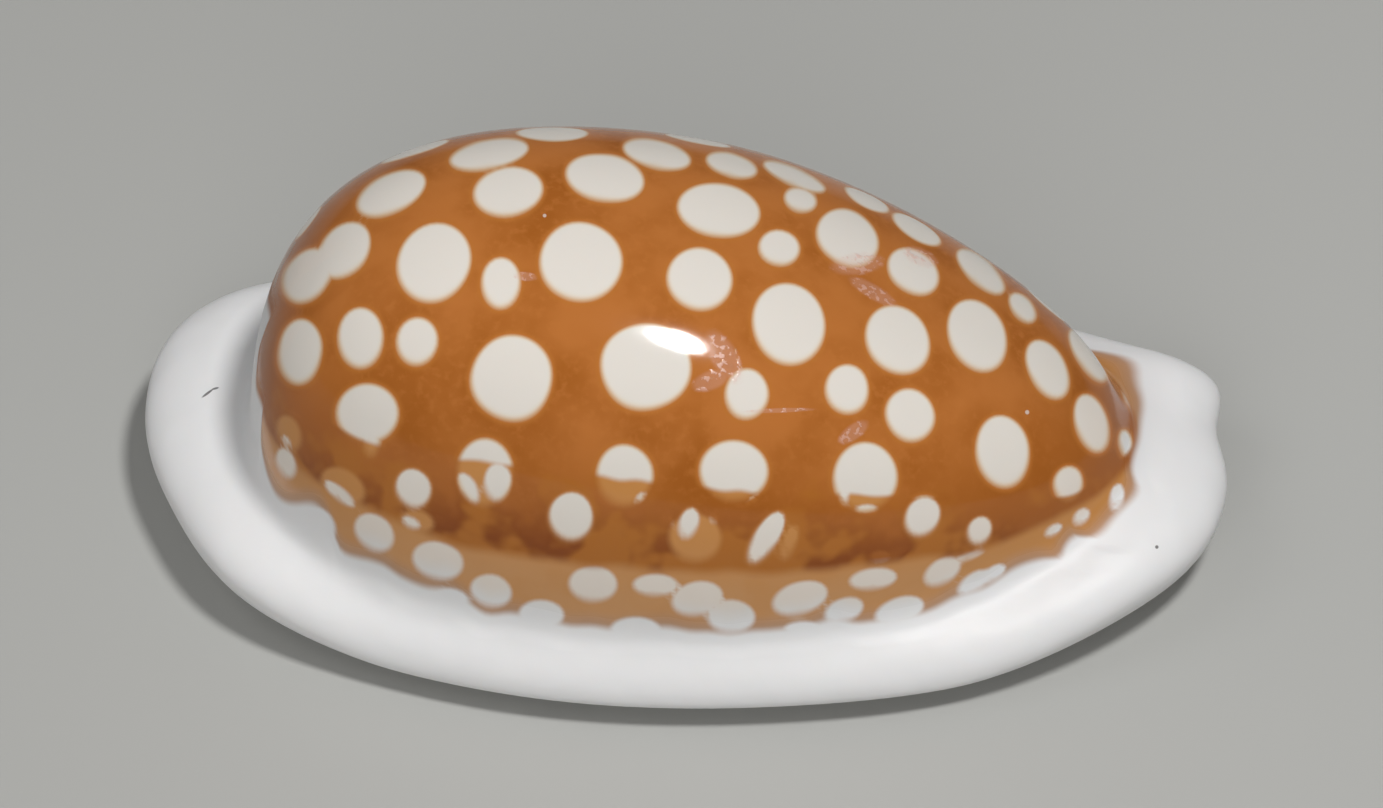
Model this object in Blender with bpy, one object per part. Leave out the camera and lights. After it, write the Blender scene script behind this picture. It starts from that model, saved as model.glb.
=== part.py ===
"""A sieve cowrie shell: a small, glossy sea shell that grew as one hollow piece.

Frame: the shell rests on its base at z = 0, with its mouth down. +X runs to the front
(anterior) tip, +Y to the side of the inner lip and -Y to the side of the outer lip. The
origin lies on the resting plane, at the middle of the shell's length. Lengths below are
in millimetres, and the mesh is written in metres.
"""
import math

import bpy
import bmesh
import numpy as np

MM = 0.001

# Margin: the outermost line of the white callus seen from above, counter-clockwise from
# the dent of the front canal. BACK_DENT is the place of the back canal's dent in the list.
MARGIN = [
    (12.27, 1.1), (12.25, 2.4), (10.6, 3.4), (8.55, 4.45), (5.8, 5.65), (2.0, 6.8),
    (-2.2, 7.2), (-6.5, 6.5), (-9.45, 4.85), (-11.2, 3.95), (-12.55, 2.5), (-12.75, -0.4),
    (-11.8, -2.8), (-10.15, -4.95), (-6.65, -6.5), (-2.4, -7.25), (2.4, -7.1),
    (7.1, -6.05), (10.7, -3.95), (12.15, -2.05), (12.45, -0.2),
]
BACK_DENT = 9
CURVE_SAMPLES = 4000
HUB = (-0.6, 0.0, 1.4)              # the point from which the outside is measured
MIDDLE = (-0.206, -0.06, 0.0)        # the middle of these lengths and widths, made the origin

# Dome: a tapered ellipsoid, higher, wider and blunter towards the back
DOME_ENDS = (-10.15, 10.1)          # its back and front ends along X
DOME_LEVEL = 2.25                   # height of its widest section
DOME_RISE = 7.05                    # from that level to the top, at mid length
DOME_RISE_TAPER = 0.31              # share of the rise lost from mid length to the front
DOME_HALF_WIDTH = 6.05
DOME_WIDTH_TAPER = 0.05
DOME_SIDE = -0.4                    # its middle line along Y
DOME_POWERS = (1.9, 2.3, 2.5)       # fullness along X, Y and Z
DOME_POWER_TAPER = 0.48             # fullness along X lost from mid length to the front
TAPER_LIMIT = 1.3                   # the tapers stop growing past this many half lengths
SHELL_WALL = 0.9                    # thickness between the dome and the hollow

# Callus: the rounded band round the margin, low at the sides, thicker and lifted at the ends
CALLUS_LEVEL = (0.85, 1.7)          # height of its outermost line, at the sides and the ends
CALLUS_RISE = (0.95, 1.0)           # from that line to its top, at the sides and the ends
CALLUS_ROLL = (1.25, 2.1)           # how far in from the edge its top starts to fall
CALLUS_UNDER = (0.6, 1.4)           # from that line to its underside, at the sides and the ends
CALLUS_TUCK = 1.4                   # how far in from the edge its underside starts to rise
END_FROM, END_TO = 6.0, 11.5        # where along X the sides turn into the ends
FILLET = 1.55                       # blend of the dome into the callus
BASE_EDGE = 1.0                     # blend of the base into the callus

# Base: flat beside the mouth, with its ends lifted and a shallow dish along the mouth
BASE_END_LIFT = 0.75
BASE_REST = 0.03                    # what is lower than this is worn flat, to rest on
MOUTH_DISH = 0.45
MOUTH_DISH_WIDTH = 2.0
BASE_RING = 1.6                     # how far in from the margin the base begins
INSIDE_LEVEL = 1.7                  # a level inside the shell all over that ring

# Mouth: a narrow, slightly curved slit that runs on as a canal at each end
MOUTH_ENDS = (-8.1, 8.3)
MOUTH_SHIFT = -1.0                  # the middle of the slit lies towards the outer lip
FRONT_BEND, FRONT_REACH = 2.0, 12.0
BACK_BEND, BACK_REACH = 4.6, 11.0
MOUTH_HALF_WIDTH = 0.5
MOUTH_FLARE = 0.25                  # extra half width towards the front
MOUTH_FLARE_FROM = 2.0              # where along X that starts
MOUTH_END_GROWTH = 0.6              # the slit's outline grows less at its ends than sideways
CANAL_ROOF = 1.3
CANAL_HALF_WIDTH = 0.85
CANAL_START = 1.0                   # length over which the slit turns into a canal
LIP_RADIUS = 0.7
LIP_UNDERCUT = 0.5                  # the lips curl back inside the slit
TOOTH_HEIGHT = 0.25
TOOTH_REACH = 1.0                   # how far the teeth run out over the base
TEETH_OUTER = 17
TEETH_INNER = 16

# Hollow inside the dome
HOLLOW_FLOOR = 2.3
HOLLOW_HUB = (-0.6, -0.25, 3.2)
HOLLOW_CORNER = 1.0
HOLLOW_DIP = -0.05                  # climb from its hub, in radians, where its wall begins

# Grid: columns run round the shell, rows from the top of the dome over the margin, the
# base, the lip and the floor of the hollow to the hollow's ceiling
COLUMNS_PER_TOOTH = 4
TEETH_ROUND = 40                    # tooth spacings in one turn round the mouth
DOME_ROWS = 15
MARGIN_ROWS = 3
BASE_ROWS = 3
LIP_ROWS = 4
FLOOR_ROWS = 2
HOLLOW_ROWS = 4
ROW_CLOSING = 0.7                   # rows of the dome and callus lie closer towards the margin
LIP_CLOSING = 1.3                   # rows of the lip lie closer towards the slit
LIP_TURN = 1.5                      # the lip turns slowly at first, then faster
PATH_SAMPLES = 400                  # points along a column before its rows are spaced out
HALVINGS = 30                       # steps that find a surface point
FAR = 16.0                          # longer than any way from the hub to the outside

SHELL_WHITE = (0.80, 0.77, 0.73, 1.0)
SHELL_ROUGHNESS = 0.15


def smooth_min(a, b, blend):
    """The smaller of a and b, rounded off where they differ by less than blend."""
    near = np.maximum(blend - np.abs(a - b), 0.0) / blend
    return np.minimum(a, b) - near ** 3 * blend / 6.0


def smooth_max(a, b, blend):
    """The larger of a and b, rounded off where they differ by less than blend."""
    return -smooth_min(-a, -b, blend)


def ease(start, end, x):
    """Rises smoothly from 0 at start to 1 at end."""
    t = np.clip((x - start) / (end - start), 0.0, 1.0)
    return t * t * (3.0 - 2.0 * t)


def closed_spline(points, samples):
    """A smooth closed curve through the points: a cubic spline over their spacing."""
    p = np.array(points)
    n = len(p)
    after = np.roll(p, -1, axis=0)
    gap = np.sqrt(np.linalg.norm(after - p, axis=1))
    before = np.roll(gap, 1)
    slope = (after - p) / gap[:, None]
    matrix = np.zeros((n, n))
    for i in range(n):
        matrix[i, i - 1] += before[i]
        matrix[i, i] += 2.0 * (before[i] + gap[i])
        matrix[i, (i + 1) % n] += gap[i]
    bend = np.linalg.solve(matrix, 6.0 * (slope - np.roll(slope, 1, axis=0)))
    knots = np.concatenate([[0.0], np.cumsum(gap)])
    t = np.linspace(0.0, knots[-1], samples, endpoint=False)
    i = np.searchsorted(knots, t, side="right") - 1
    past = (t - knots[i])[:, None]
    left = (knots[i + 1] - t)[:, None]
    g = gap[i][:, None]
    b0, b1 = bend[i], bend[(i + 1) % n]
    p0, p1 = p[i], after[i]
    curve = (b0 * left ** 3 + b1 * past ** 3) / (6.0 * g)
    curve += (p0 / g - b0 * g / 6.0) * left + (p1 / g - b1 * g / 6.0) * past
    return curve


def along(curve, back, share):
    """Points round a closed curve from its front to its sample back, and on to its front.

    Shares up to a half divide the length of the first stretch, the others the second.
    """
    closed = np.vstack([curve, curve[:1]])
    steps = np.linalg.norm(np.diff(closed, axis=0), axis=1)
    length = np.concatenate([[0.0], np.cumsum(steps)])
    at = np.interp(share, [0.0, 0.5, 1.0], [0.0, length[back], length[-1]])
    return np.interp(at, length, closed[:, 0]), np.interp(at, length, closed[:, 1])


def margin_radius(curve, angle):
    """Distance from the hub to the margin in each direction."""
    around = np.arctan2(curve[:, 1] - HUB[1], curve[:, 0] - HUB[0])
    radius = np.hypot(curve[:, 1] - HUB[1], curve[:, 0] - HUB[0])
    order = np.argsort(around)
    return np.interp(angle, around[order], radius[order], period=2.0 * math.pi)


def dome(x, y, z, wall=0.0):
    """Distance out from the dome, negative inside, for a dome thinner by wall.

    The dome is where the powers of the shares of its length, width and rise add up to 1. The
    power for its length grows towards the back, which makes that end blunter.
    """
    middle = 0.5 * (DOME_ENDS[0] + DOME_ENDS[1])
    half_length = 0.5 * (DOME_ENDS[1] - DOME_ENDS[0]) - wall
    u = (x - middle) / half_length
    taper = np.clip(u, -TAPER_LIMIT, TAPER_LIMIT)
    width = (DOME_HALF_WIDTH - wall) * (1.0 - DOME_WIDTH_TAPER * taper)
    rise = (DOME_RISE - wall) * (1.0 - DOME_RISE_TAPER * taper)
    v = (y - DOME_SIDE) / width
    w = (z - DOME_LEVEL) / rise
    total = np.abs(u) ** (DOME_POWERS[0] - DOME_POWER_TAPER * taper)
    total = total + np.abs(v) ** DOME_POWERS[1] + np.abs(w) ** DOME_POWERS[2]
    reach = np.sqrt((x - middle) ** 2 + (y - DOME_SIDE) ** 2 + (z - DOME_LEVEL) ** 2)
    return reach * (1.0 - 1.0 / np.sqrt(np.maximum(total, 1e-9)))


def side_to_end(pair, x):
    """A value that goes from the first of a pair at the sides to the second at the ends."""
    return pair[0] + (pair[1] - pair[0]) * ease(END_FROM, END_TO, np.abs(x))


def callus(x, y, z, curve):
    """Distance out from the callus band: a slab with an elliptical edge along the margin."""
    angle = np.arctan2(y - HUB[1], x - HUB[0])
    inward = margin_radius(curve, angle) - np.hypot(x - HUB[0], y - HUB[1])
    level = side_to_end(CALLUS_LEVEL, x)
    above = z > level
    tall = np.where(above, side_to_end(CALLUS_RISE, x), side_to_end(CALLUS_UNDER, x))
    deep = np.where(above, side_to_end(CALLUS_ROLL, x), CALLUS_TUCK)
    out = np.maximum(deep - inward, 0.0) / deep
    return tall * (np.sqrt(out ** 2 + ((z - level) / tall) ** 2) - 1.0)


def mouth_line(x):
    """Y of the middle of the slit: nearly straight, bent to the inner lip at the back."""
    front = FRONT_BEND * (np.maximum(x, 0.0) / FRONT_REACH) ** 2
    back = BACK_BEND * (np.maximum(-x, 0.0) / BACK_REACH) ** 4
    return MOUTH_SHIFT + front + back


def mouth_slope(x):
    """Slope of the slit's middle line."""
    front = 2.0 * FRONT_BEND * np.maximum(x, 0.0) / FRONT_REACH ** 2
    back = -4.0 * BACK_BEND * np.maximum(-x, 0.0) ** 3 / BACK_REACH ** 4
    return front + back


def base_height(x, y):
    """Height of the base: flat, lifted at the ends, dished at the slit, cut by the canals."""
    off = (y - mouth_line(x)) / np.sqrt(1.0 + mouth_slope(x) ** 2)
    lift = side_to_end((0.0, BASE_END_LIFT), x)
    dish = MOUTH_DISH * np.exp(-(off / MOUTH_DISH_WIDTH) ** 4)
    ends = ease(MOUTH_ENDS[1] - CANAL_START, MOUTH_ENDS[1] + CANAL_START, np.abs(x))
    canal = ends * np.exp(-np.abs(off / CANAL_HALF_WIDTH) ** 3)
    height = np.maximum(lift + dish - BASE_REST, 0.0)
    return height + (CANAL_ROOF - height) * canal


def outside(x, y, z, curve):
    """Negative inside the shell's outer form: the dome and the callus, cut by the base."""
    body = smooth_min(dome(x, y, z), callus(x, y, z, curve), FILLET)
    return smooth_max(body, base_height(x, y) - z, BASE_EDGE)


def hollow(x, y, z):
    """Negative inside the hollow: the dome less its wall, above the floor."""
    return smooth_max(dome(x, y, z, SHELL_WALL), HOLLOW_FLOOR - z, HOLLOW_CORNER)


def last_inside(form, start, heading, reach):
    """Halves the stretch from start along heading until it ends on the form's surface."""
    near = np.zeros(np.broadcast(start[0], heading[0]).shape)
    far = near + reach
    for _ in range(HALVINGS):
        half = 0.5 * (near + far)
        inside = form(*[s + half * h for s, h in zip(start, heading)]) < 0.0
        near = np.where(inside, half, near)
        far = np.where(inside, far, half)
    return np.stack([s + near * h for s, h in zip(start, heading)], axis=-1)


def seen_from(form, hub, around, climb):
    """The form's surface as seen from a hub, for headings around and angles of climb."""
    around = np.broadcast_to(around[:, None], climb.shape)
    heading = (np.cos(climb) * np.cos(around), np.cos(climb) * np.sin(around), np.sin(climb))
    return last_inside(form, [np.full(climb.shape, h) for h in hub], heading, FAR)


def straight_below(form, x, y, level):
    """The form's surface straight below the points x, y at a level."""
    still = np.zeros(x.shape)
    return last_inside(form, (x, y, still + level), (still, still, still - 1.0), level + 1.0)


def between(start, end, mix):
    """Points between a column's start and end in X and Y, for shares mix of the way."""
    x = start[0][:, None] + (end[0] - start[0])[:, None] * mix
    y = start[1][:, None] + (end[1] - start[1])[:, None] * mix
    return x, y


def spaced_rows(path, shares):
    """Each column's path resampled at the given shares of its own length."""
    steps = np.linalg.norm(np.diff(path, axis=1), axis=2)
    length = np.concatenate([np.zeros((len(path), 1)), np.cumsum(steps, axis=1)], axis=1)
    out = np.empty((len(path), len(shares), 3))
    for column, (points, at) in enumerate(zip(path, length)):
        for axis in range(3):
            out[column, :, axis] = np.interp(shares * at[-1], at, points[:, axis])
    return out


def mouth_loop(share, grow):
    """Points round the slit, whose outline is pushed outwards by grow.

    The half width follows the slit's width and closes as a high power towards each end.
    """
    turn = np.linspace(0.0, 2.0 * math.pi, CURVE_SAMPLES, endpoint=False)
    middle = 0.5 * (MOUTH_ENDS[0] + MOUTH_ENDS[1])
    half_length = 0.5 * (MOUTH_ENDS[1] - MOUTH_ENDS[0]) + MOUTH_END_GROWTH * grow
    x = middle + half_length * np.sign(np.cos(turn)) * np.abs(np.cos(turn)) ** 0.5
    width = MOUTH_HALF_WIDTH + MOUTH_FLARE * ease(MOUTH_FLARE_FROM, MOUTH_ENDS[1], x) + grow
    width = width * np.sqrt(1.0 + mouth_slope(x) ** 2)
    y = mouth_line(x) + width * np.sign(np.sin(turn)) * np.abs(np.sin(turn)) ** 0.5
    return along(np.stack([x, y], axis=-1), CURVE_SAMPLES // 2, share)


def tooth_ridge(share):
    """Height of the teeth at each share of the turn: rounded ridges on both lips."""
    step = 1.0 / TEETH_ROUND
    wave = (0.5 + 0.5 * np.cos(2.0 * math.pi * share / step)) ** 1.5
    ridge = np.zeros_like(share)
    for middle, count in ((0.25, TEETH_INNER), (0.75, TEETH_OUTER)):
        half_span = 0.5 * count * step
        ridge = np.maximum(ridge, 1.0 - ease(half_span - step, half_span, np.abs(share - middle)))
    return TOOTH_HEIGHT * wave * ridge


def lip_rows(outer, share):
    """Rows over the lip and up the slit, raised along the surface's outward side by the teeth.

    Each row lies on a loop round the slit that is grown less than the one before. It leaves
    the base along a quarter turn, and a tooth pushes it out, most in the middle of the lip.
    """
    rows = []
    for row in range(1, LIP_ROWS + 1):
        turn = row / LIP_ROWS
        slope = 0.5 * math.pi * turn ** LIP_TURN
        grow = (LIP_RADIUS + TOOTH_REACH) * (1.0 - turn) ** LIP_CLOSING
        x, y = mouth_loop(share, grow)
        towards_x, towards_y = mouth_loop(share, grow - 0.1 * LIP_RADIUS)
        lip = straight_below(outer, x, y, INSIDE_LEVEL)
        lip[:, 2] += LIP_RADIUS * (1.0 - math.cos(slope)) * turn
        push = tooth_ridge(share) * math.sin(math.pi * turn)
        towards = np.stack([towards_x - x, towards_y - y], axis=-1)
        towards /= np.linalg.norm(towards, axis=1)[:, None]
        lip[:, :2] += towards * (push * math.sin(slope))[:, None]
        lip[:, 2] -= push * math.cos(slope)
        rows.append(lip)
    return np.stack(rows, axis=1)


def shell_grid():
    """All points of the shell, as columns round it and rows from top to ceiling."""
    columns = COLUMNS_PER_TOOTH * TEETH_ROUND
    share = np.arange(columns) / columns
    curve = closed_spline(MARGIN, CURVE_SAMPLES)
    back = np.argmin(np.linalg.norm(curve - np.array(MARGIN[BACK_DENT]), axis=1))
    edge_x, edge_y = along(curve, back, share)
    around = np.arctan2(edge_y - HUB[1], edge_x - HUB[0])
    radius = np.hypot(edge_y - HUB[1], edge_x - HUB[0])
    path = np.linspace(0.0, 1.0, PATH_SAMPLES)

    def outer(x, y, z):
        return outside(x, y, z, curve)

    # Over the dome and the callus to the margin
    widest = np.arctan2(side_to_end(CALLUS_LEVEL, edge_x) - HUB[2], radius)[:, None]
    over = seen_from(outer, HUB, around, 0.5 * math.pi * (1.0 - path) + widest * path)
    parts = [spaced_rows(over, np.linspace(0.0, 1.0, DOME_ROWS + 1) ** ROW_CLOSING)]

    # Under the margin to a ring on the base
    turn = 0.5 * math.pi * np.arange(1, MARGIN_ROWS + 1) / MARGIN_ROWS
    inset = BASE_RING * (1.0 - np.cos(turn)) / radius[:, None]
    x, y = between((over[:, -1, 0], over[:, -1, 1]), HUB[:2], inset)
    parts.append(straight_below(outer, x, y, side_to_end(CALLUS_LEVEL, x)))

    # Across the base to the foot of the teeth
    foot = mouth_loop(share, LIP_RADIUS + TOOTH_REACH)
    x, y = between((x[:, -1], y[:, -1]), foot, np.arange(1, BASE_ROWS + 1) / BASE_ROWS)
    parts.append(straight_below(outer, x, y, INSIDE_LEVEL))
    parts.append(lip_rows(outer, share))

    # Along the floor of the hollow, from behind the lips to its wall
    wall = seen_from(hollow, HOLLOW_HUB, around, np.full((columns, 1), HOLLOW_DIP))[:, 0]
    x, y = between(mouth_loop(share, LIP_UNDERCUT), (wall[:, 0], wall[:, 1]),
                   np.arange(FLOOR_ROWS) / FLOOR_ROWS)
    parts.append(straight_below(hollow, x, y, HOLLOW_HUB[2]))

    # Up the hollow's wall to its ceiling
    climb = HOLLOW_DIP + (0.5 * math.pi - HOLLOW_DIP) * path
    inside = seen_from(hollow, HOLLOW_HUB, around, np.broadcast_to(climb, (columns, len(path))))
    parts.append(spaced_rows(inside, np.linspace(0.0, 1.0, HOLLOW_ROWS + 1)))
    return np.concatenate(parts, axis=1) - np.array(MIDDLE)


def remove_everything():
    """Starts from an empty scene."""
    for item in list(bpy.data.objects):
        bpy.data.objects.remove(item, do_unlink=True)


def shell_material():
    """Glossy, porcelain-like white of the callus."""
    material = bpy.data.materials.new("shell_gloss")
    material.use_nodes = True
    shader = material.node_tree.nodes["Principled BSDF"]
    shader.inputs["Base Color"].default_value = SHELL_WHITE
    shader.inputs["Roughness"].default_value = SHELL_ROUGHNESS
    shader.inputs["Metallic"].default_value = 0.0
    return material


def shell_object(collection):
    """A ball whose rings are carried to the shell's rows, from its top to the ceiling."""
    grid = shell_grid() * MM
    columns, rows = grid.shape[:2]
    ball = bmesh.new()
    bmesh.ops.create_uvsphere(ball, u_segments=columns, v_segments=rows - 1, radius=1.0)
    for vertex in ball.verts:
        x, y, z = vertex.co
        row = round(math.acos(max(-1.0, min(1.0, z))) / math.pi * (rows - 1))
        column = round(math.atan2(y, x) / (2.0 * math.pi) * columns) % columns
        vertex.co = grid[column, row]
    mesh = bpy.data.meshes.new("shell")
    ball.to_mesh(mesh)
    ball.free()
    mesh.shade_smooth()
    mesh.materials.append(shell_material())
    piece = bpy.data.objects.new("shell", mesh)
    collection.objects.link(piece)
    return piece


remove_everything()
cowrie = bpy.data.collections.new("sieve_cowrie")
bpy.context.scene.collection.children.link(cowrie)
shell_object(cowrie)
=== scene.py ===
"""A sieve cowrie shell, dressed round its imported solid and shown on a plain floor.

Lengths are in millimetres, angles in degrees, and meshes are written in metres. Frame: the
shell rests on its base at z = 0, +X to its front tip, -Y to its outer lip, +Z up.
"""
import math

import bpy
import numpy as np
from mathutils import Matrix, Vector


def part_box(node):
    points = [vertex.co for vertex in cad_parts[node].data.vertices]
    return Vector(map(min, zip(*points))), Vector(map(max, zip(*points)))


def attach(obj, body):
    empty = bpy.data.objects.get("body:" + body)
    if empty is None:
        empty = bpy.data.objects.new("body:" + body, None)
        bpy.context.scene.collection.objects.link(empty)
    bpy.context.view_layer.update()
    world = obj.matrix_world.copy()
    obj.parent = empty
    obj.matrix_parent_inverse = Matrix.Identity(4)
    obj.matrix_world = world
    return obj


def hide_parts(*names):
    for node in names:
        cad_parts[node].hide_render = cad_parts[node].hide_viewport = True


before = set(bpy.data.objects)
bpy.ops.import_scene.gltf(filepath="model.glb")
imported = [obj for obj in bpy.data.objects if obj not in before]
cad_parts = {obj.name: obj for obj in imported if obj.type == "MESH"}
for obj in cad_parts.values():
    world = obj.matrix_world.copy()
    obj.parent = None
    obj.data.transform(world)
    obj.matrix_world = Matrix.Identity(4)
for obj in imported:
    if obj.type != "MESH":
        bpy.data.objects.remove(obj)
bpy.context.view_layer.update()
MM = 0.001                    # one millimetre in metres


# Shell: the one piece, a hollow dome and a thick callus round its margin, of calcium carbonate
# with a natural porcelain glaze. The animal's mantle laid it down in layers, so nothing is
# joined: the callus swells out of the dome, and the lips of the mouth roll in with their teeth.
# Its form is the set of places where a distance is negative: dome, callus, base and hollow.


def smooth_min(a, b, blend):
    """The smaller of a and b, rounded off where they differ by less than blend."""
    near = np.maximum(blend - np.abs(a - b), 0.0) / blend
    return np.minimum(a, b) - near ** 3 * blend / 6.0


def smooth_max(a, b, blend):
    """The larger of a and b, rounded off where they differ by less than blend."""
    return -smooth_min(-a, -b, blend)


def ease(start, end, x):
    """Rises from 0 at start to 1 at end as three squares less two cubes."""
    t = np.clip((x - start) / (end - start), 0.0, 1.0)
    return t * t * (3.0 - 2.0 * t)


def closed_spline(points, samples):
    """A smooth closed curve through the points: a cubic spline over their spacing."""
    p = np.array(points)
    n = len(p)
    after = np.roll(p, -1, axis=0)
    gap = np.sqrt(np.linalg.norm(after - p, axis=1))
    before = np.roll(gap, 1)
    slope = (after - p) / gap[:, None]
    place = np.arange(n)
    matrix = np.zeros((n, n))
    matrix[place, place - 1] = before
    matrix[place, place] = 2.0 * (before + gap)
    matrix[place, (place + 1) % n] = gap
    bend = np.linalg.solve(matrix, 6.0 * (slope - np.roll(slope, 1, axis=0)))
    knots = np.concatenate([[0.0], np.cumsum(gap)])
    t = np.linspace(0.0, knots[-1], samples, endpoint=False)
    i = np.searchsorted(knots, t, side="right") - 1
    past = (t - knots[i])[:, None]
    left = (knots[i + 1] - t)[:, None]
    g = gap[i][:, None]
    b0, b1 = bend[i], bend[(i + 1) % n]
    p0, p1 = p[i], after[i]
    curve = (b0 * left ** 3 + b1 * past ** 3) / (6.0 * g)
    curve += (p0 / g - b0 * g / 6.0) * left + (p1 / g - b1 * g / 6.0) * past
    return curve


def along(curve, back, share):
    """Points round a closed curve, evenly spaced from its front to its sample back and on."""
    closed = np.vstack([curve, curve[:1]])
    steps = np.linalg.norm(np.diff(closed, axis=0), axis=1)
    length = np.concatenate([[0.0], np.cumsum(steps)])
    at = np.interp(share, [0.0, 0.5, 1.0], [0.0, length[back], length[-1]])
    return np.interp(at, length, closed[:, 0]), np.interp(at, length, closed[:, 1])


# Margin: the outermost line of the callus seen from above, from the dent of the front canal
# round the inner lip's side to the back and home along the outer lip
MARGIN = [
    (12.27, 1.1), (12.25, 2.4), (10.6, 3.4), (8.55, 4.45), (5.8, 5.65), (2.0, 6.8),
    (-2.2, 7.2), (-6.5, 6.5), (-9.45, 4.85), (-11.2, 3.95), (-12.55, 2.5), (-12.75, -0.4),
    (-11.8, -2.8), (-10.15, -4.95), (-6.65, -6.5), (-2.4, -7.25), (2.4, -7.1),
    (7.1, -6.05), (10.7, -3.95), (12.15, -2.05), (12.45, -0.2),
]
BACK_DENT = 9                 # the place of the back canal's dent in that list
CURVE_SAMPLES = 4000          # points along each smooth curve
HUB = (-0.6, 0.0, 1.4)        # the point from which the outside is measured

margin_curve = closed_spline(MARGIN, CURVE_SAMPLES)
margin_angle = np.arctan2(margin_curve[:, 1] - HUB[1], margin_curve[:, 0] - HUB[0])
margin_reach = np.hypot(margin_curve[:, 1] - HUB[1], margin_curve[:, 0] - HUB[0])
margin_order = np.argsort(margin_angle)

# Callus: the rounded band round the margin, low at the sides, thicker and lifted at the ends
CALLUS_LEVEL = (0.85, 1.7)    # height of its outermost line, at the sides and the ends
CALLUS_RISE = (0.95, 1.0)     # from that line to its top, at the sides and the ends
CALLUS_ROLL = (1.25, 2.1)     # how far in from the edge its top starts to fall
CALLUS_UNDER = (0.6, 1.4)     # from that line to its underside, at the sides and the ends
CALLUS_TUCK = 1.4             # how far in from the edge its underside starts to rise
END_FROM, END_TO = 6.0, 11.5  # where along X the sides turn into the ends
FILLET = 1.55                 # blend of the dome into the callus


def side_to_end(pair, x):
    """A value that goes from the first of a pair at the sides to the second at the ends."""
    return pair[0] + (pair[1] - pair[0]) * ease(END_FROM, END_TO, np.abs(x))


def callus(x, y, z):
    """Distance out from the callus: a slab with an elliptical edge along the margin."""
    angle = np.arctan2(y - HUB[1], x - HUB[0])
    margin = np.interp(angle, margin_angle[margin_order], margin_reach[margin_order],
                       period=2.0 * math.pi)
    inward = margin - np.hypot(x - HUB[0], y - HUB[1])
    level = side_to_end(CALLUS_LEVEL, x)
    above = z > level
    tall = np.where(above, side_to_end(CALLUS_RISE, x), side_to_end(CALLUS_UNDER, x))
    deep = np.where(above, side_to_end(CALLUS_ROLL, x), CALLUS_TUCK)
    out = np.maximum(deep - inward, 0.0) / deep
    return tall * (np.sqrt(out ** 2 + ((z - level) / tall) ** 2) - 1.0)


# Dome: a tapered ellipsoid, higher, wider and blunter towards the back
DOME_ENDS = (-10.15, 10.1)    # its back and front ends along X
DOME_LEVEL = 2.25             # height of its widest section
DOME_RISE = 7.05              # from that level to the top, at mid length
DOME_RISE_TAPER = 0.31        # share of the rise lost from mid length to the front
DOME_HALF_WIDTH = 6.05
DOME_WIDTH_TAPER = 0.05       # share of the width lost in the same way
DOME_SIDE = -0.4              # its middle line along Y
DOME_POWERS = (1.9, 2.3, 2.5)  # fullness along X, Y and Z
DOME_POWER_TAPER = 0.48       # fullness along X lost from mid length to the front
TAPER_LIMIT = 1.3             # the tapers stop growing past this many half lengths
SHELL_WALL = 0.9              # thickness between the dome and the hollow


def dome(x, y, z, wall=0.0):
    """Distance out from a dome thinner by wall: its powers of length, width and rise sum to 1.

    The power for its length grows towards the back, which makes that end blunter.
    """
    middle = 0.5 * (DOME_ENDS[0] + DOME_ENDS[1])
    half_length = 0.5 * (DOME_ENDS[1] - DOME_ENDS[0]) - wall
    u = (x - middle) / half_length
    taper = np.clip(u, -TAPER_LIMIT, TAPER_LIMIT)
    v = (y - DOME_SIDE) / ((DOME_HALF_WIDTH - wall) * (1.0 - DOME_WIDTH_TAPER * taper))
    w = (z - DOME_LEVEL) / ((DOME_RISE - wall) * (1.0 - DOME_RISE_TAPER * taper))
    total = np.abs(u) ** (DOME_POWERS[0] - DOME_POWER_TAPER * taper)
    total = total + np.abs(v) ** DOME_POWERS[1] + np.abs(w) ** DOME_POWERS[2]
    reach = np.sqrt((x - middle) ** 2 + (y - DOME_SIDE) ** 2 + (z - DOME_LEVEL) ** 2)
    return reach * (1.0 - 1.0 / np.sqrt(np.maximum(total, 1e-9)))


# Base: flat beside the mouth, with its ends lifted and a shallow dish along the mouth
BASE_EDGE = 1.0               # blend of the base into the callus
BASE_END_LIFT = 0.75
BASE_REST = 0.03              # what is lower than this is worn flat, to rest on
MOUTH_DISH = 0.45             # depth of the dish
MOUTH_DISH_WIDTH = 2.0

# Slit of the mouth, which runs on as a canal at each end
MOUTH_ENDS = (-8.1, 8.3)
MOUTH_SHIFT = -1.0            # the middle of the slit lies towards the outer lip
FRONT_BEND, FRONT_REACH = 2.0, 12.0  # it bends so far to the inner lip over that length
BACK_BEND, BACK_REACH = 4.6, 11.0
CANAL_ROOF = 1.3
CANAL_HALF_WIDTH = 0.85
CANAL_START = 1.0             # length over which the slit turns into a canal


def mouth_line(x):
    """Y and slope of the middle of the slit: a parabola forwards, a fourth power backwards."""
    ahead, behind = np.maximum(x, 0.0), np.maximum(-x, 0.0)
    y = MOUTH_SHIFT + FRONT_BEND * (ahead / FRONT_REACH) ** 2
    y = y + BACK_BEND * (behind / BACK_REACH) ** 4
    slope = 2.0 * FRONT_BEND * ahead / FRONT_REACH ** 2
    return y, slope - 4.0 * BACK_BEND * behind ** 3 / BACK_REACH ** 4


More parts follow.
